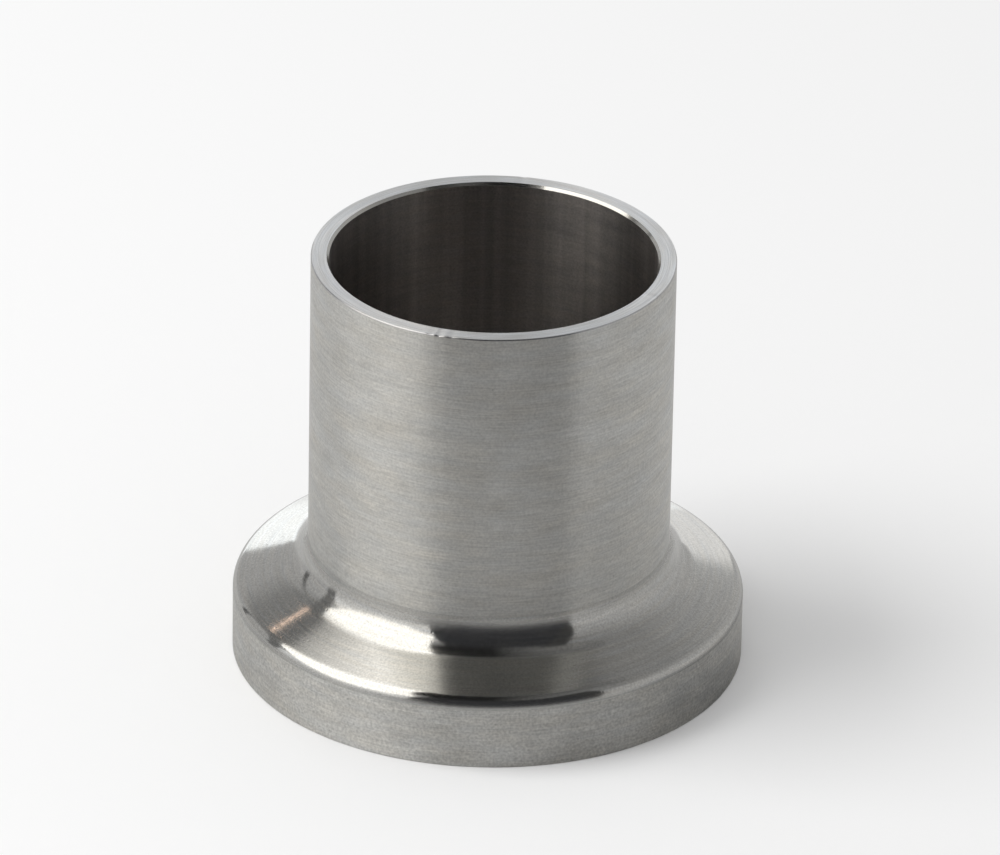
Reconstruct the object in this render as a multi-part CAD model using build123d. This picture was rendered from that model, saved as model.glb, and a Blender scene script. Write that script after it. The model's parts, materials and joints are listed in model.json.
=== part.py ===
"""Sanitary clamp ferrule: a short stainless tube with a heavy clamp flange at its foot, turned as one piece.

The flange's flat underside is the sealing face. It carries the ring groove that centres a gasket's bead, and a clamp
draws two such faces together by the conical back of the flange. The tube's free end is squared off for butt welding.

Frame: the origin is the centre of the sealing face, and +Z runs up the bore towards the weld end. Sizes are in
millimetres and degrees.
"""

import os
from math import radians, tan

from build123d import *

# Tube
tube_outer_diameter = 35.7
tube_wall = 1.8
overall_length = 42.9  # sealing face to weld end

# Flange
flange_overhang = 7.4  # tube's outside to the rim
rim_height = 7.2  # sealing face to the sharp corner where the rim would meet the cone
cone_angle = 20.0  # rise of the flange's back towards the tube
rim_edge_radius = 1.3  # rounds that corner
neck_radius = 3.8  # blends the cone into the tube

# Gasket groove in the sealing face
groove_inset = 3.45  # rim to the middle of the groove
groove_width = 4.4
groove_depth = 1.6

# Broken edges
face_edge_break = 0.1  # both edges of the sealing face
weld_bore_chamfer = 0.25
weld_outer_chamfer = 0.2

# Worked out
tube_radius = tube_outer_diameter / 2
bore_radius = tube_radius - tube_wall
flange_radius = tube_radius + flange_overhang
neck_height = rim_height + flange_overhang * tan(radians(cone_angle))
groove_middle = flange_radius - groove_inset


def half_section():
    """The turned outline on one side of the axis, as (radius, height) in the XZ plane."""
    face_bore, face_rim = (bore_radius, 0), (flange_radius, 0)
    cone_foot, cone_top = (flange_radius, rim_height), (tube_radius, neck_height)
    weld_outer, weld_bore = (tube_radius, overall_length), (bore_radius, overall_length)
    groove_inner = (groove_middle - groove_width / 2, 0)
    groove_outer = (groove_middle + groove_width / 2, 0)

    with BuildSketch(Plane.XZ) as section:
        with BuildLine():
            Line(face_bore, groove_inner)
            SagittaArc(groove_inner, groove_outer, groove_depth)
            Polyline(groove_outer, face_rim, cone_foot, cone_top, weld_outer, weld_bore, face_bore)
        make_face()

        def corner(point):
            return section.vertices().sort_by_distance(point)[0]

        fillet(corner(cone_foot), rim_edge_radius)
        fillet(corner(cone_top), neck_radius)
        for point, size in (
            (face_bore, face_edge_break),
            (face_rim, face_edge_break),
            (weld_outer, weld_outer_chamfer),
            (weld_bore, weld_bore_chamfer),
        ):
            chamfer(corner(point), size)
    return section.sketch


ferrule = revolve(half_section(), axis=Axis.Z)
ferrule.label = "ferrule"

os.makedirs("parts", exist_ok=True)
export_step(ferrule, "parts/ferrule.step")

print("flange diameter", 2 * flange_radius, "bore diameter", 2 * bore_radius, "volume", round(ferrule.volume, 1))
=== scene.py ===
import json
from math import asin, atan2, cos, degrees, pi, radians, sin, tan

import bmesh
import bpy
from mathutils import Matrix, Vector


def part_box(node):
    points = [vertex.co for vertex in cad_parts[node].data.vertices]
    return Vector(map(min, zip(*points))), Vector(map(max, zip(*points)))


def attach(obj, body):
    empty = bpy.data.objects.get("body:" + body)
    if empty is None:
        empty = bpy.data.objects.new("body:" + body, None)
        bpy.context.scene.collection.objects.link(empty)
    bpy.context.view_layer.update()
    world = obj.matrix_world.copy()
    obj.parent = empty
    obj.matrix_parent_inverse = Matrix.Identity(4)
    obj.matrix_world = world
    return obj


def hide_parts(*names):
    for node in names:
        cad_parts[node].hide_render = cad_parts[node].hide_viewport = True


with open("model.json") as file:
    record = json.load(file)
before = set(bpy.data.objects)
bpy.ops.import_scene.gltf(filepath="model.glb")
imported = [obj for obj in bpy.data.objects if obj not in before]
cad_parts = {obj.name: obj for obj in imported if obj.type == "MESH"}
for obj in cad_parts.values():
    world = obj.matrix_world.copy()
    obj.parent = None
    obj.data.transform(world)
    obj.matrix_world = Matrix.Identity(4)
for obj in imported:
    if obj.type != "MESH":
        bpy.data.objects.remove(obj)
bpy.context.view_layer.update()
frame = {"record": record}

# --------------------------------------------------------------------------------------------------------
# The ferrule is one piece of stainless bar, turned and bored on a lathe. Its body is gathered band by
# band, as the tool cuts it: a band is one stretch of the outline with one finish, spun about the axis. Z
# runs from the sealing face up to the weld end, with the middle of the sealing face at the origin.

MM = 0.001
STEPS_ROUND = 384  # facets in a full turn
ARC_STEP = radians(3.0)  # turn of each facet along a rounded stretch of the outline

mounts = {mount["name"]: mount["dims"] for mount in frame["record"]["mounts"]}
tube_radius = mounts["tube_end"]["r_mm"] * MM
bore_radius = mounts["bore"]["r_mm"] * MM
flange_radius = mounts["flange_rim"]["r_mm"] * MM
weld_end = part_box("ferrule")[1].z

body = bmesh.new()
finishes = []


def cut(piece, start, *moves):
    """Draws a stretch of the outline in the XZ plane. A move is a point (radius, height) to cut straight
    to, or (radius, height, angle): a centre to swing about by that angle, positive from +Z towards +X."""
    tip = piece.verts.new((start[0], 0, start[1]))
    for move in moves:
        if len(move) == 2:
            tip = bmesh.ops.extrude_vert_indiv(piece, verts=[tip])["verts"][0]
            tip.co = (move[0], 0, move[1])
        else:
            radius, height, angle = move
            swung = bmesh.ops.spin(
                piece,
                geom=[tip],
                cent=(radius, 0, height),
                axis=(0, 1, 0),
                angle=angle,
                steps=max(2, round(abs(angle) / ARC_STEP)),
            )
            tip = [part for part in swung["geom_last"] if isinstance(part, bmesh.types.BMVert)][0]


def band(material, start, *moves):
    """Cuts one stretch of the outline, spins it right round in that material and adds it to the body."""
    piece = bmesh.new()
    cut(piece, start, *moves)
    bmesh.ops.spin(
        piece,
        geom=piece.verts[:] + piece.edges[:],
        cent=(0, 0, 0),
        axis=(0, 0, 1),
        angle=2 * pi,
        steps=STEPS_ROUND,
        use_merge=True,
    )
    if material not in finishes:
        finishes.append(material)
    for face in piece.faces:
        face.material_index = finishes.index(material)
    ring = bpy.data.meshes.new("ring")
    piece.to_mesh(ring)
    piece.free()
    body.from_mesh(ring)
    bpy.data.meshes.remove(ring)


# --------------------------------------------------------------------------------------------------------
# Every band is bare stainless steel. What differs is the tool that left it: how far apart its lines are,
# how much it scatters along the outline, and how grainy it is. The three effects are shared by all the
# finishes.

STEEL = (0.6, 0.592, 0.56)
NOISE_RANGE = (0.3, 0.7)  # what a noise node gives nearly everywhere
OUTLINE_TURN = 0.25  # turn from round the axis to along the outline, as a share of a full turn
WARM_SWING = 0.012  # how much the red swings with the smears
COOL_SWING = -0.018  # and the blue, the other way
RELIEF_UNIT = 0.001 * MM


def node(tree, kind, inputs=None, **settings):
    """Adds a node. Each input is given a value, or the socket of another node to be fed from."""
    made = tree.nodes.new(kind)
    for name, value in settings.items():
        setattr(made, name, value)
    for name, value in (inputs or {}).items():
        if isinstance(value, bpy.types.NodeSocket):
            tree.links.new(value, made.inputs[name])
        else:
            made.inputs[name].default_value = value
    return made


def maths(tree, operation, *values):
    """Does a sum on numbers, and returns the socket of the result."""
    return node(tree, "ShaderNodeMath", dict(enumerate(values)), operation=operation).outputs["Value"]


def vector_maths(tree, operation, *values, result="Vector"):
    """Does a sum on vectors, and returns the socket of the result."""
    made = node(tree, "ShaderNodeVectorMath", dict(enumerate(values)), operation=operation)
    return made.outputs[result]


def scaled(tree, vector, factor):
    """A vector or a colour times a number."""
    made = node(tree, "ShaderNodeVectorMath", {0: vector, "Scale": factor}, operation="SCALE")
    return made.outputs["Vector"]


def mapped(tree, value, old, new, clamp=True):
    """Carries a value from the range old over to the range new. Both are (start, end)."""
    ends = {"From Min": old[0], "From Max": old[1], "To Min": new[0], "To Max": new[1]}
    return node(tree, "ShaderNodeMapRange", {"Value": value, **ends}, clamp=clamp).outputs["Result"]


def effect(name, inputs, output):
    """Starts a node group with one output, and returns its tree and the sockets of its inputs."""
    tree = bpy.data.node_groups.new(name, "ShaderNodeTree")
    for label, value in inputs.items():
        socket = tree.interface.new_socket(label, in_out="INPUT", socket_type="NodeSocketFloat")
        socket.default_value = value
    tree.interface.new_socket(output, in_out="OUTPUT", socket_type="NodeSocketFloat")
    return tree, node(tree, "NodeGroupInput").outputs


def turning_lines():
    """Lines that a lathe tool leaves: noise, fine along the outline and drawn out around the axis. Spacing
    is from line to line, and Wander is how fast a line changes on its way round."""
    tree, given = effect("turning lines", {"Spacing": 0.2 * MM, "Wander": 6.0}, "Height")
    place = node(tree, "ShaderNodeTexCoord").outputs["Object"]
    flat = vector_maths(tree, "MULTIPLY", place, (1, 1, 0))
    radius = vector_maths(tree, "LENGTH", flat, result="Value")
    height = node(tree, "ShaderNodeSeparateXYZ", {0: place}).outputs["Z"]
    along = maths(tree, "SUBTRACT", radius, height)
    across = maths(tree, "DIVIDE", along, given["Spacing"])
    drift = scaled(tree, vector_maths(tree, "NORMALIZE", flat), given["Wander"])
    lift = node(tree, "ShaderNodeCombineXYZ", {"Z": across}).outputs["Vector"]
    where = vector_maths(tree, "ADD", drift, lift)
    look = {"Scale": 1.0, "Detail": 2.0, "Roughness": 0.6}
    noise = node(tree, "ShaderNodeTexNoise", {"Vector": where, **look})
    node(tree, "NodeGroupOutput", {"Height": noise.outputs["Fac"]})
    return tree


def grain():
    """The even, sandy grain of a matt surface."""
    tree, given = effect("grain", {"Size": 0.15 * MM}, "Height")
    place = node(tree, "ShaderNodeTexCoord").outputs["Object"]
    look = {"Scale": maths(tree, "DIVIDE", 1.0, given["Size"]), "Detail": 1.5, "Roughness": 0.5}
    noise = node(tree, "ShaderNodeTexNoise", {"Vector": place, **look})
    node(tree, "NodeGroupOutput", {"Height": noise.outputs["Fac"]})
    return tree


def pits():
    """Sparse dark pits and specks of dirt, as a mask. They sit in cells of the size Spacing, Share is the
    part of the cells that hold one, and Size is its reach as a share of a cell."""
    tree, given = effect("pits", {"Spacing": 1.0 * MM, "Share": 0.1, "Size": 0.15}, "Mask")
    place = node(tree, "ShaderNodeTexCoord").outputs["Object"]
    scale = maths(tree, "DIVIDE", 1.0, given["Spacing"])
    cells = node(tree, "ShaderNodeTexVoronoi", {"Vector": place, "Scale": scale, "Randomness": 1.0})
    draw = node(tree, "ShaderNodeSeparateColor", {0: cells.outputs["Color"]}).outputs[0]
    chosen = maths(tree, "LESS_THAN", draw, given["Share"])
    near = mapped(tree, cells.outputs["Distance"], (0.0, given["Size"]), (1.0, 0.0))
    node(tree, "NodeGroupOutput", {"Mask": maths(tree, "MULTIPLY", chosen, near)})
    return tree


TURNING_LINES, GRAIN, PITS = turning_lines(), grain(), pits()


def finish(
    name, roughness, stretch, marks, grains, smear, tint=(1, 1, 1), pitting=None, dull=0.0, fades=()
):
    """Bare steel. stretch is how much more it scatters along the outline than around it, and dull is the
    share of the light that its grain scatters all round. Relief is in thousandths of a millimetre.
    marks: for each set of lines, (spacing, wander, shade, relief).
    grains: (size, shade, relief).
    smear: (spacing, wander, share) of the lines along which the roughness swings.
    pitting: (spacing, share, size, shade, relief).
    fades: (height, height, roughness), from that roughness at the first height to the finish's own at the
    second."""
    material = bpy.data.materials.new(name)
    material.use_nodes = True
    tree = material.node_tree
    steel = tree.nodes["Principled BSDF"]
    steel.inputs["Metallic"].default_value = 1.0 - dull
    steel.inputs["Anisotropic"].default_value = stretch
    steel.inputs["Anisotropic Rotation"].default_value = OUTLINE_TURN
    tangent = node(tree, "ShaderNodeTangent", direction_type="RADIAL", axis="Z")
    tree.links.new(tangent.outputs["Tangent"], steel.inputs["Tangent"])

    def use(effect_tree, output, **inputs):
        """Adds one of the three effects and returns its output."""
        made = node(tree, "ShaderNodeGroup", node_tree=effect_tree)
        for label, value in inputs.items():
            made.inputs[label].default_value = value
        return made.outputs[output]

    def swing(value, middle, share):
        """A number that swings about the middle by that share, up and down with the noise."""
        return mapped(tree, value, NOISE_RANGE, (middle * (1 - share), middle * (1 + share)), clamp=False)

    colour = tuple(part * share for part, share in zip(STEEL, tint))
    height = 0.0
    for spacing, wander, shade, relief in marks:
        lines = use(TURNING_LINES, "Height", Spacing=spacing, Wander=wander)
        colour = scaled(tree, colour, swing(lines, 1, shade))
        height = maths(tree, "MULTIPLY_ADD", lines, relief, height)

    size, shade, relief = grains
    sand = use(GRAIN, "Height", Size=size)
    colour = scaled(tree, colour, swing(sand, 1, shade))
    height = maths(tree, "MULTIPLY_ADD", sand, relief, height)

    if pitting:
        spacing, share, size, shade, relief = pitting
        holes = use(PITS, "Mask", Spacing=spacing, Share=share, Size=size)
        colour = scaled(tree, colour, maths(tree, "MULTIPLY_ADD", holes, -shade, 1.0))
        height = maths(tree, "MULTIPLY_ADD", holes, -relief, height)

    spacing, wander, share = smear
    smears = use(TURNING_LINES, "Height", Spacing=spacing, Wander=wander)
    uneven = swing(smears, roughness, share)
    if fades:
        place = node(tree, "ShaderNodeTexCoord").outputs["Object"]
        level = node(tree, "ShaderNodeSeparateXYZ", {0: place}).outputs["Z"]
    for dull_end, clear_end, rougher in fades:
        uneven = mapped(tree, level, (dull_end, clear_end), (rougher, uneven))

    warm = swing(smears, 1, WARM_SWING)
    cool = swing(smears, 1, COOL_SWING)
    cast = node(tree, "ShaderNodeCombineXYZ", {"X": warm, "Y": 1.0, "Z": cool}).outputs["Vector"]
    colour = vector_maths(tree, "MULTIPLY", colour, cast)

    bump = node(tree, "ShaderNodeBump", {"Height": height, "Strength": 1.0, "Distance": RELIEF_UNIT})
    tree.links.new(colour, steel.inputs["Base Color"])
    tree.links.new(uneven, steel.inputs["Roughness"])
    tree.links.new(bump.outputs["Normal"], steel.inputs["Normal"])
    return material


# --------------------------------------------------------------------------------------------------------
# The weld end is faced off square, which leaves fine rings. Its inner edge has a small chamfer, cut with
# a sharp tool and much brighter than the rest. Its outer edge is only rounded a little.

OUTER_EDGE_RADIUS = 0.12 * MM
BORE_CHAMFER = 0.25 * MM

faced = finish(
    "faced weld end",
    roughness=0.34,
    stretch=0.8,
    marks=[(0.11 * MM, 3.0, 0.16, 5.0)],
    grains=(0.15 * MM, 0.05, 2.0),
    smear=(0.6 * MM, 4.0, 0.1),
    # A little lighter and bluer than the bare steel: a painted reflection of the cool light above it.
    tint=(1.03, 1.03, 1.08),
)
bright_edge = finish(
    "bright chamfer",
    roughness=0.14,
    stretch=0.7,
    marks=[(0.1 * MM, 4.0, 0.06, 1.0)],
    grains=(0.2 * MM, 0.04, 2.0),
    smear=(0.6 * MM, 6.0, 0.2),
)
band(bright_edge, (bore_radius, weld_end - BORE_CHAMFER), (bore_radius + BORE_CHAMFER, weld_end))
band(
    faced,
    (bore_radius + BORE_CHAMFER, weld_end),
    (tube_radius - OUTER_EDGE_RADIUS, weld_end),
    (tube_radius - OUTER_EDGE_RADIUS, weld_end - OUTER_EDGE_RADIUS, pi / 2),
)

# --------------------------------------------------------------------------------------------------------
# The back of the flange is a cone that the jaws of a clamp bear on, blended into the tube by a wide radius
# and into the rim by a narrow one. It is polished and mirrors what is round it, and the polish fades into
# the satin at both ends.

CONE_ANGLE = radians(20.0)
RIM_HEIGHT = 7.2 * MM  # to the sharp corner where the rim would meet the cone
RIM_EDGE_RADIUS = 1.3 * MM
NECK_RADIUS = 3.8 * MM
CLEAR_OF_BLEND = 0.25 * MM  # short facets next to a blend keep its shading off the long ones
NECK_FADE = 1.7 * MM  # how far down the neck the satin fades into the polish
EDGE_FADE = 0.7 * MM  # and how far up the rounded edge of the rim
FADE_ROUGHNESS = 0.34  # where the polish meets the satin

across, up = sin(CONE_ANGLE), cos(CONE_ANGLE)  # the way square to the cone, out from the steel
neck_height = RIM_HEIGHT + (flange_radius - tube_radius) * tan(CONE_ANGLE)
neck_centre = (tube_radius + NECK_RADIUS, neck_height + NECK_RADIUS * (1 - across) / up)
neck_foot = (neck_centre[0] - NECK_RADIUS * across, neck_centre[1] - NECK_RADIUS * up)
edge_centre = (
    flange_radius - RIM_EDGE_RADIUS,
    RIM_HEIGHT + RIM_EDGE_RADIUS * (tan(CONE_ANGLE) - 1 / up),
)
cone_foot = (edge_centre[0] + RIM_EDGE_RADIUS * across, edge_centre[1] + RIM_EDGE_RADIUS * up)
blend_turn = pi / 2 - CONE_ANGLE

polished = finish(
    "polished flange back",
    roughness=0.135,
    stretch=0.93,
    marks=[(0.16 * MM, 3.0, 0.07, 0.7), (0.6 * MM, 2.0, 0.05, 0.7)],
    grains=(0.2 * MM, 0.12, 0.5),
    smear=(0.5 * MM, 3.0, 0.15),
    tint=(0.97, 0.97, 0.98),
    pitting=(0.45 * MM, 0.25, 0.35, 0.1, 2.5),
    fades=[
        (neck_centre[1], neck_centre[1] - NECK_FADE, FADE_ROUGHNESS),
        (edge_centre[1], edge_centre[1] + EDGE_FADE, FADE_ROUGHNESS),
    ],
)
band(
    polished,
    (tube_radius, neck_centre[1]),
    (*neck_centre, -blend_turn),
    (neck_foot[0] + CLEAR_OF_BLEND * up, neck_foot[1] - CLEAR_OF_BLEND * across),
    (cone_foot[0] - CLEAR_OF_BLEND * up, cone_foot[1] + CLEAR_OF_BLEND * across),
    cone_foot,
    (*edge_centre, blend_turn),
)

# --------------------------------------------------------------------------------------------------------
# The tube's outside has a satin finish: fine lines round it from the turning, dulled by an even grain, and
# a few tiny pits. It runs from the weld end down to where the neck begins to curve.

satin = finish(
    "satin tube",
    roughness=0.43,
    stretch=0.86,
    marks=[(0.17 * MM, 6.0, 0.1, 2.5), (2.5 * MM, 3.0, 0.05, 0.0)],
    grains=(0.25 * MM, 0.09, 4.5),
    smear=(2.0 * MM, 3.0, 0.05),
    # Lighter than the polished steel of the same bar: painted light.
    tint=(1.19, 1.19, 1.2),
    pitting=(2.4 * MM, 0.12, 0.05, 0.5, 6.0),
    dull=0.02,
)
band(
    satin,
    (tube_radius, weld_end - OUTER_EDGE_RADIUS),
    (tube_radius, weld_end - OUTER_EDGE_RADIUS - CLEAR_OF_BLEND),
    (tube_radius, neck_centre[1] + CLEAR_OF_BLEND),
    (tube_radius, neck_centre[1]),
)

# --------------------------------------------------------------------------------------------------------
# The rim is satin as the tube is, a little coarser and with more specks, and it stands straight. Its
# lower edge, at the sealing face, is broken.

FACE_EDGE_BREAK = 0.1 * MM

rim_satin = finish(
    "satin rim",
    roughness=0.43,
    stretch=0.86,
    marks=[(0.17 * MM, 7.0, 0.1, 3.0), (1.6 * MM, 6.0, 0.07, 0.0)],
    grains=(0.26 * MM, 0.15, 7.0),
    smear=(1.5 * MM, 4.0, 0.08),
    # Lighter than the polished steel of the same bar: painted light.
    tint=(1.14, 1.14, 1.15),
    pitting=(0.9 * MM, 0.16, 0.16, 0.45, 8.0),
    dull=0.06,
)
band(
    rim_satin,
    (flange_radius, edge_centre[1]),
    (flange_radius, edge_centre[1] - CLEAR_OF_BLEND),
    (flange_radius, FACE_EDGE_BREAK),
    (flange_radius - FACE_EDGE_BREAK, 0),
)

# --------------------------------------------------------------------------------------------------------
# The sealing face is flat and fine-turned. The ring groove in it is a shallow arc, cut with a form tool,
# and centres the bead of the gasket.

GROOVE_INSET = 3.45 * MM  # rim to the middle of the groove
GROOVE_WIDTH = 4.4 * MM
GROOVE_DEPTH = 1.6 * MM

groove_middle = flange_radius - GROOVE_INSET
groove_radius = ((GROOVE_WIDTH / 2) ** 2 + GROOVE_DEPTH**2) / (2 * GROOVE_DEPTH)
groove_turn = 2 * asin(GROOVE_WIDTH / 2 / groove_radius)

fine_faced = finish(
    "fine-turned face",
    roughness=0.22,
    stretch=0.8,
    marks=[(0.15 * MM, 3.0, 0.1, 3.0)],
    grains=(0.2 * MM, 0.05, 2.0),
    smear=(0.8 * MM, 4.0, 0.15),
)
band(
    fine_faced,
    (flange_radius - FACE_EDGE_BREAK, 0),
    (groove_middle + GROOVE_WIDTH / 2, 0),
    (groove_middle, GROOVE_DEPTH - groove_radius, -groove_turn),
    (bore_radius + FACE_EDGE_BREAK, 0),
    (bore_radius, FACE_EDGE_BREAK),
)

# --------------------------------------------------------------------------------------------------------
# The bore is reamed smooth from end to end. Besides the fine lines round it, its colour has soft lighter
# and darker streaks that run along it. Its tint, far darker than the rest of the steel, is painted shade
# deep in the bore.

STREAKS = 1000 * MM  # a spacing so wide that the lines run along the bore instead of round it

reamed = finish(
    "reamed bore",
    roughness=0.34,
    stretch=0.84,
    marks=[(0.2 * MM, 4.0, 0.07, 0.5), (STREAKS, 9.0, 0.18, 0.0)],
    grains=(0.2 * MM, 0.12, 0.6),
    smear=(1.0 * MM, 4.0, 0.06),
    # Far darker than the steel elsewhere: painted shade in the bore.
    tint=(0.76, 0.725, 0.735),
)
band(reamed, (bore_radius, FACE_EDGE_BREAK), (bore_radius, weld_end - BORE_CHAMFER))

# --------------------------------------------------------------------------------------------------------
# The bands are joined into one closed body, which stands in for the coarser CAD solid. Five small nicks
# are knocked into the outer edge at the weld end. Blends are shaded smooth, and corners stay crisp.

SEAM = 0.001 * MM
CRISP_ABOVE = radians(25)
NICKS = ((-17.0, 0.1), (-12.8, 0.07), (-19.6, 0.05), (63.0, 0.05), (171.0, 0.06))  # direction, depth in mm
NICK_REACH = 1.0  # degrees to each side
NICK_INWARD = 0.4  # how far a nick goes in, as a share of how far it goes down

bmesh.ops.remove_doubles(body, verts=body.verts, dist=SEAM)
bmesh.ops.recalc_face_normals(body, faces=body.faces)
for face in body.faces:
    face.smooth = True

nicked_above = weld_end - 2 * OUTER_EDGE_RADIUS
nicked_outside = tube_radius - 2 * OUTER_EDGE_RADIUS
for direction, depth in NICKS:
    for vert in body.verts:
        aside = abs(degrees(atan2(vert.co.x, -vert.co.y)) - direction)
        if aside < NICK_REACH and vert.co.z > nicked_above and vert.co.xy.length > nicked_outside:
            dent = depth * MM * (1 - aside / NICK_REACH)
            vert.co.z -= dent
            vert.co.xy *= 1 - NICK_INWARD * dent / tube_radius

mesh = bpy.data.meshes.new("turned_ferrule")
body.to_mesh(mesh)
mesh.set_sharp_from_angle(angle=CRISP_ABOVE)
for material in finishes:
    mesh.materials.append(material)
ferrule = bpy.data.objects.new("turned_ferrule", mesh)
bpy.context.scene.collection.objects.link(ferrule)
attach(ferrule, "root")
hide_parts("ferrule")

# --------------------------------------------------------------------------------------------------------
# The ferrule stands on a plain white floor, under a white sky. The floor can be looked through from below,
# and it is left out under the sealing face. The sky is dimmer as a light than it looks.

FLOOR_COLOUR = (0.93, 0.93, 0.93, 1.0)
FLOOR_RADIUS = 4.0
SHEET_SEGMENTS = 96
COVERED = 0.3 * MM  # how far the floor runs in under the ferrule, at the rim and at the bore
SKY_LIGHT = 0.64


def stage_piece(name, piece, material, **seen_by):
    """Makes an object of the set from a bmesh. seen_by says which rays meet it."""
    surface = bpy.data.meshes.new(name)
    piece.to_mesh(surface)
    piece.free()
    surface.materials.append(material)
    made = bpy.data.objects.new(name, surface)
    bpy.context.scene.collection.objects.link(made)
    for ray, seen in seen_by.items():
        setattr(made, "visible_" + ray, seen)
    return made


def plain_material(name):
    """A material with only its output node."""
    material = bpy.data.materials.new(name)
    material.use_nodes = True
    tree = material.node_tree
    tree.nodes.remove(tree.nodes["Principled BSDF"])
    return material, tree, tree.nodes["Material Output"].inputs["Surface"]


paper, tree, surface = plain_material("white paper")
matt = node(tree, "ShaderNodeBsdfDiffuse", {"Color": FLOOR_COLOUR}).outputs["BSDF"]
clear = node(tree, "ShaderNodeBsdfTransparent").outputs["BSDF"]
below = node(tree, "ShaderNodeNewGeometry").outputs["Backfacing"]
mixed = node(tree, "ShaderNodeMixShader", {0: below, 1: matt, 2: clear}).outputs["Shader"]
tree.links.new(mixed, surface)


def round_sheet(height):
    """A flat sheet, left out where the sealing face covers it so that the face can be seen."""
    made = bmesh.new()
    inner, outer = bore_radius + COVERED, flange_radius - COVERED
    bmesh.ops.create_circle(made, cap_ends=True, segments=SHEET_SEGMENTS, radius=inner)
    ends = [made.verts.new((reach, 0, 0)) for reach in (outer, FLOOR_RADIUS)]
    bmesh.ops.spin(
        made,
        geom=[*ends, made.edges.new(ends)],
        cent=(0, 0, 0),
        axis=(0, 0, 1),
        angle=2 * pi,
        steps=SHEET_SEGMENTS,
        use_merge=True,
    )
    bmesh.ops.translate(made, verts=made.verts, vec=(0, 0, height))
    made.normal_update()
    bmesh.ops.reverse_faces(made, faces=[face for face in made.faces if face.normal.z < 0])
    return made


stage_piece("floor", round_sheet(0), paper)

sky = bpy.data.worlds.new("white sky")
bpy.context.scene.world = sky
sky.use_nodes = True
sky.cycles.sampling_method = "NONE"
tree = sky.node_tree
rays = node(tree, "ShaderNodeLightPath").outputs
seen = rays["Is Camera Ray"]
for kind in ("Is Glossy Ray", "Is Transmission Ray"):
    seen = maths(tree, "MAXIMUM", seen, rays[kind])
background = tree.nodes["Background"]
background.inputs["Color"].default_value = (1, 1, 1, 1)
tree.links.new(mapped(tree, seen, (0.0, 1.0), (SKY_LIGHT, 1.0)), background.inputs["Strength"])

# --------------------------------------------------------------------------------------------------------
# Polished steel shows what stands round it, and here that is painted in: walls and cards that glow and are
# seen in the steel alone, as painted reflections. They show a large soft light high on the left in its
# casing, on a stand, a dark front and floor where the camera is, a fade on their left, a grey wall on the
# right and a dark ceiling. Azimuth 0 is the front and 90 the right.

IN_STEEL_ONLY = {"camera": False, "diffuse": False, "shadow": False}
WALL_DISTANCE = 1.8
WALL_STEP = 5.0  # degrees
CEILING = 3.3
CEILING_SEGMENTS = 48


def toward(azimuth, elevation, distance):
    """A point seen from the ferrule in that direction, in degrees."""
    a, e = radians(azimuth), radians(elevation)
    return Vector((sin(a) * cos(e), -cos(a) * cos(e), sin(e))) * distance


def glow(name, axis, *stops, tint=(1, 1, 1, 1)):
    """A surface that shines by itself, for the painted reflections in the steel. Each of the stops is a
    place along the axis and the brightness there, and it blends from one to the next."""
    material, tree, surface = plain_material(name)
    place = node(tree, "ShaderNodeTexCoord").outputs["Object"]
    along = node(tree, "ShaderNodeSeparateXYZ", {0: place}).outputs[axis]
    level = stops[0][1]
    for (low, dim), (high, bright) in zip(stops, stops[1:]):
        level = maths(tree, "ADD", mapped(tree, along, (low, high), (0.0, bright - dim)), level)
    light = node(tree, "ShaderNodeEmission", {"Color": tint, "Strength": level}).outputs["Emission"]
    tree.links.new(light, surface)
    material.cycles.emission_sampling = "NONE"
    return material


def wall(name, left, right, *stops, bottom=0.0, tint=(1, 1, 1, 1)):
    """An upright curved wall between two azimuths, from the bottom up to the ceiling."""
    made = bmesh.new()
    foot = made.verts.new((*toward(left, 0, WALL_DISTANCE).xy, bottom))
    turn = radians(right - left)
    steps = max(2, round((right - left) / WALL_STEP))
    bmesh.ops.spin(made, geom=[foot], cent=(0, 0, 0), axis=(0, 0, 1), angle=turn, steps=steps)
    raised = bmesh.ops.extrude_edge_only(made, edges=made.edges[:])["geom"]
    top = [part for part in raised if isinstance(part, bmesh.types.BMVert)]
    bmesh.ops.translate(made, verts=top, vec=(0, 0, CEILING - bottom))
    return stage_piece(name, made, glow(name, "Z", *stops, tint=tint), **IN_STEEL_ONLY)


def card(name, distance, corners, axis, *stops, tint=(1, 1, 1, 1)):
    """A flat card at that distance. Its corners are given as (azimuth, elevation)."""
    ways = [toward(azimuth, elevation, 1) for azimuth, elevation in corners]
    facing = sum(ways, Vector()).normalized()
    made = bmesh.new()
    made.faces.new([made.verts.new(way * distance / way.dot(facing)) for way in ways])
    return stage_piece(name, made, glow(name, axis, *stops, tint=tint), **IN_STEEL_ONLY)


# Painted reflections: the walls round the ferrule, glowing in the steel alone.
FRONT_TINT = (0.95, 0.97, 1.05, 1)
BACK_TINT = (0.95, 0.98, 1.0, 1)
RIGHT_FALLOFF = ((0.0, 0.54), (0.5, 0.5), (1.0, 0.44), (1.5, 0.37), (2.0, 0.3), (2.9, 0.27), (3.3, 0.17))
BACK_FALLOFF = ((0.66, 0.95), (1.26, 0.9), (1.9, 0.3), (3.3, 0.06))
wall("front_flag", -34.5, 48.5, (0.0, 0.085), (0.36, 0.055), (1.8, 0.045), (3.3, 0.04), tint=FRONT_TINT)
wall("right_wall", 48.5, 161, *RIGHT_FALLOFF)
wall("back_top", 161, 192, *BACK_FALLOFF, bottom=BACK_FALLOFF[0][0], tint=BACK_TINT)
wall("left_back_wall", 192, 258, (0.0, 0.52), (0.85, 0.48), (1.15, 0.29), (3.3, 0.2))
wall("left_wall", 258, 325.5, (0.0, 0.55), (0.4, 0.8), (0.7, 1.0), (3.3, 0.2))

# A painted reflection: the dark floor in front, seen in the steel alone.
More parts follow.
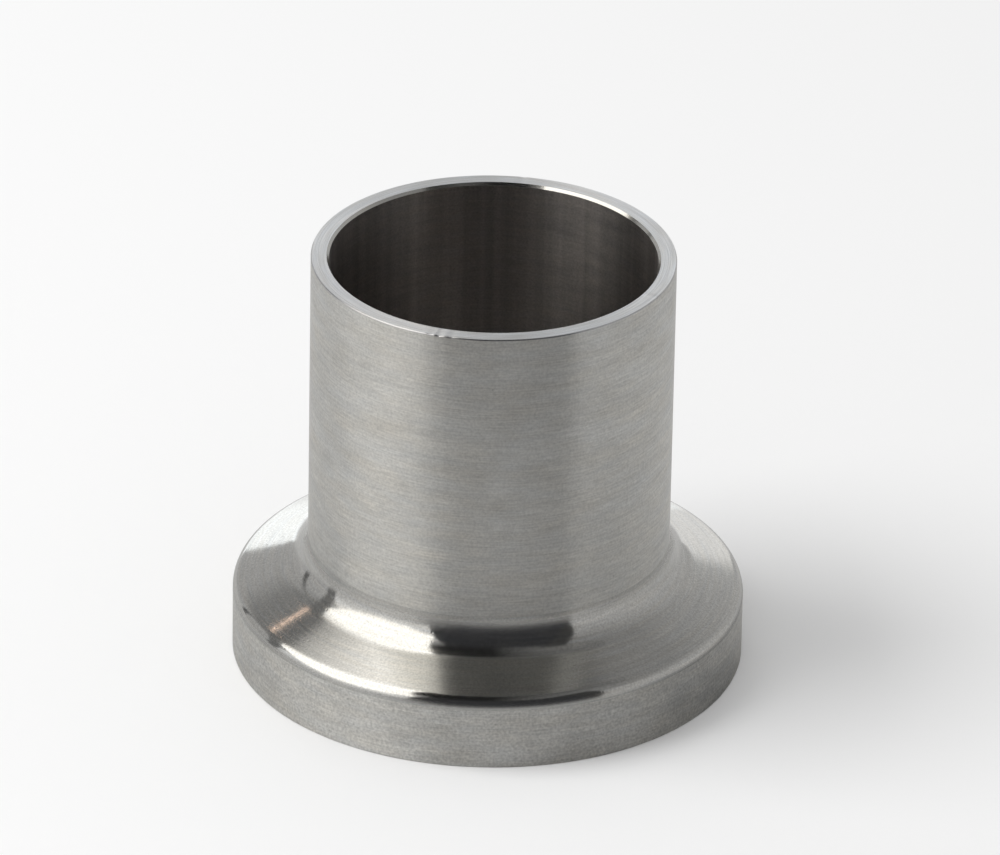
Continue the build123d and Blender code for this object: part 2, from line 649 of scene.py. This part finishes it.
FOOT_LEFT = -38.0
FOOT_RIGHT = 48.5
FOOT_REACH = (0.105, WALL_DISTANCE)  # from the axis to its near and far ends
FOOT_HEIGHT = 0.03 * MM  # just over the floor and the sheet of painted shade on it
FOOT_STEPS = 15
foot = bmesh.new()
ends = [foot.verts.new((*toward(FOOT_LEFT, 0, reach).xy, FOOT_HEIGHT)) for reach in FOOT_REACH]
turn = radians(FOOT_RIGHT - FOOT_LEFT)
bmesh.ops.spin(foot, geom=[*ends, foot.edges.new(ends)], axis=(0, 0, 1), angle=turn, steps=FOOT_STEPS)
stage_piece("front_flag_foot", foot, glow("front_flag_foot", "Z", (0, 0.1)), **IN_STEEL_ONLY)

# A painted reflection: the dark ceiling, seen in the steel alone.
CEILING_FALLOFF = ((0.1, 0.02), (0.6, 0.11), (1.1, 0.18), (1.7, 0.24))
ceiling = bmesh.new()
bmesh.ops.create_circle(ceiling, cap_ends=True, segments=CEILING_SEGMENTS, radius=WALL_DISTANCE)
bmesh.ops.translate(ceiling, verts=ceiling.verts, vec=(0, 0, CEILING))
stage_piece("ceiling", ceiling, glow("ceiling", "X", *CEILING_FALLOFF), **IN_STEEL_ONLY)

# Painted reflections: the light, its casing, its stand and the other cards, glowing in the steel alone.
SOFTBOX = (
    (-34.5, 40),
    (-49, 24),
    (-67, 16.5),
    (-88, 22),
    (-118, 35.5),
    (-151, 46),
    (-174, 54),
    (-167, 67.5),
)
SOFTBOX_FALLOFF = (
    (0.3, 1.9),
    (0.46, 1.5),
    (0.53, 1.28),
    (0.57, 1.1),
    (0.61, 0.85),
    (0.65, 0.7),
    (0.7, 0.54),
    (0.77, 0.36),
)
CASING_FRONT = ((-100, -3), (-102, 18), (-113, 36), (-150, 46.5), (-168, 47))
CASING_BACK = ((-152, 41.5), (-121, 32), (-109, 16), (-107, -3))
WING = ((48, -1), (61, 48), (72, 63), (46, 63), (46, -1))
FADE = ((-62, -2), (-62, 11), (-17, 11), (-17, -2))
STAND = ((-127.5, 3), (-132.0, 3), (-136.8, 42), (-135.6, 42))
STRIP = ((-160, 40.15), (-147, 40.15), (-147, 39.65), (-160, 39.65))
LOW_LIGHT = ((-190, 0), (-190, 19), (-163, 18.5), (-157, 0))
card("softbox", 1.0, SOFTBOX, "Y", *SOFTBOX_FALLOFF, tint=(1.0, 0.98, 0.94, 1))
card("softbox_casing", 1.05, CASING_FRONT + CASING_BACK, "Z", (0, 0.2))
card("flag_wing", 1.0, WING, "Z", (0, 0.055))
card("left_fade", 1.0, FADE, "X", (-0.96, 0.7), (-0.32, 0.09))
card("light_stand", 1.1, STAND, "Z", (0, 0.12), (0.3, 0.14), (0.5, 0.22))
card("warm_strip", 1.0, STRIP, "Z", (0, 3.2), tint=(1.0, 0.72, 0.55, 1))
card("left_back_light", 1.0, LOW_LIGHT, "Z", (0, 1.58), tint=(0.95, 0.98, 1, 1))

# --------------------------------------------------------------------------------------------------------
# A sheet of painted shade lies on the floor, seen in the steel alone. It dims the floor's reflection by
# direction, most on the left of the front, and once more round a spot near the right side: a painted
# shadow, for that side standing in its own shadow.

SHADE_SHEET_HEIGHT = 0.02 * MM
REFLECTION_SHADES = (  # azimuth and how much of the light it lets through
    (-180, 1.0),
    (-164, 0.95),
    (-150, 0.66),
    (-75, 0.54),
    (-45, 0.53),
    (-25, 0.62),
    (5, 0.7),
    (45, 0.66),
    (70, 0.58),
    (130, 0.62),
    (157, 0.66),
    (165, 0.95),
    (180, 1.0),
)
PAINTED_SHADOW_CENTRE = (23.4 * MM, -13.5 * MM, 0)
PAINTED_SHADOW_REACH = (3 * MM, 28 * MM)  # from its darkest to where it ends
PAINTED_SHADOW_DARKEST = 0.15

# Painted shade on the floor's reflection, by direction, seen in the steel alone.
shade_sheet_material, tree, surface = plain_material("painted shade sheet")
place = node(tree, "ShaderNodeTexCoord").outputs["Object"]
quarter_turn = (0, 0, radians(90))
turned = node(tree, "ShaderNodeMapping", {"Vector": place, "Rotation": quarter_turn}).outputs["Vector"]
around = node(tree, "ShaderNodeTexGradient", {"Vector": turned}, gradient_type="RADIAL").outputs["Fac"]
ramp = node(tree, "ShaderNodeValToRGB", {0: around})
stops = ramp.color_ramp.elements
while len(stops) < len(REFLECTION_SHADES):
    stops.new(0.5)
for stop, (azimuth, _) in zip(stops, REFLECTION_SHADES):  # the places come first, as the stops are sorted by them
    stop.position = (azimuth + 180) / 360
for stop, (_, shade) in zip(stops, REFLECTION_SHADES):
    stop.color = (shade, shade, shade, 1)
# A painted shadow in the floor's reflection, round a spot near the right side.
away = vector_maths(tree, "DISTANCE", place, PAINTED_SHADOW_CENTRE, result="Value")
dark = mapped(tree, away, PAINTED_SHADOW_REACH, (PAINTED_SHADOW_DARKEST, 1.0))
shade = scaled(tree, ramp.outputs["Color"], dark)
sheet = node(tree, "ShaderNodeBsdfTransparent", {"Color": shade}).outputs["BSDF"]
tree.links.new(sheet, surface)
stage_piece("painted_shade_sheet", round_sheet(SHADE_SHEET_HEIGHT), shade_sheet_material, **IN_STEEL_ONLY)

# --------------------------------------------------------------------------------------------------------
# One soft lamp gives the floor its light and the ferrule its shadow. It hangs on the left, and neither the
# camera nor the steel sees it.

LAMP_SIZE = (0.6, 0.45)
LAMP_POWER = 4.2
LAMP_DIRECTION = (-85, 52)  # azimuth and elevation
LAMP_DISTANCE = 0.9

lamp = bpy.data.lights.new("soft lamp", "AREA")
lamp.shape = "RECTANGLE"
lamp.size, lamp.size_y = LAMP_SIZE
lamp.energy = LAMP_POWER
lamp_object = bpy.data.objects.new("soft lamp", lamp)
lamp_object.location = toward(*LAMP_DIRECTION, LAMP_DISTANCE)
lamp_object.rotation_euler = toward(*LAMP_DIRECTION, 1).to_track_quat("Z", "Y").to_euler()
lamp_object.visible_glossy = False
lamp_object.visible_camera = False
bpy.context.scene.collection.objects.link(lamp_object)

# --------------------------------------------------------------------------------------------------------
# The camera looks down on the ferrule from about a metre away, through a long lens. It rolls and turns a
# little from looking straight at the axis.

VIEW_DOWN = 27.79
VIEW_DISTANCE = 1.0359
AIM_HEIGHT = 22.725 * MM
LENS = 379.5
SENSOR = 36
ROLL = 1.05
TILT = 0.0659
PAN = -0.0511

camera = bpy.data.cameras.new("camera")
camera.lens = LENS
camera.sensor_width = SENSOR
camera.clip_start, camera.clip_end = 0.01, 20
camera_object = bpy.data.objects.new("camera", camera)
bpy.context.scene.collection.objects.link(camera_object)
place = Vector((0, 0, AIM_HEIGHT)) + toward(0, VIEW_DOWN, VIEW_DISTANCE)
rolled = Matrix.Rotation(radians(90 - VIEW_DOWN), 4, "X") @ Matrix.Rotation(radians(ROLL), 4, "Z")
settled = Matrix.Rotation(radians(TILT), 4, "X") @ Matrix.Rotation(radians(PAN), 4, "Y")
camera_object.matrix_world = Matrix.Translation(place) @ rolled @ settled
bpy.context.scene.camera = camera_object

bpy.context.scene.view_settings.view_transform = "Standard"
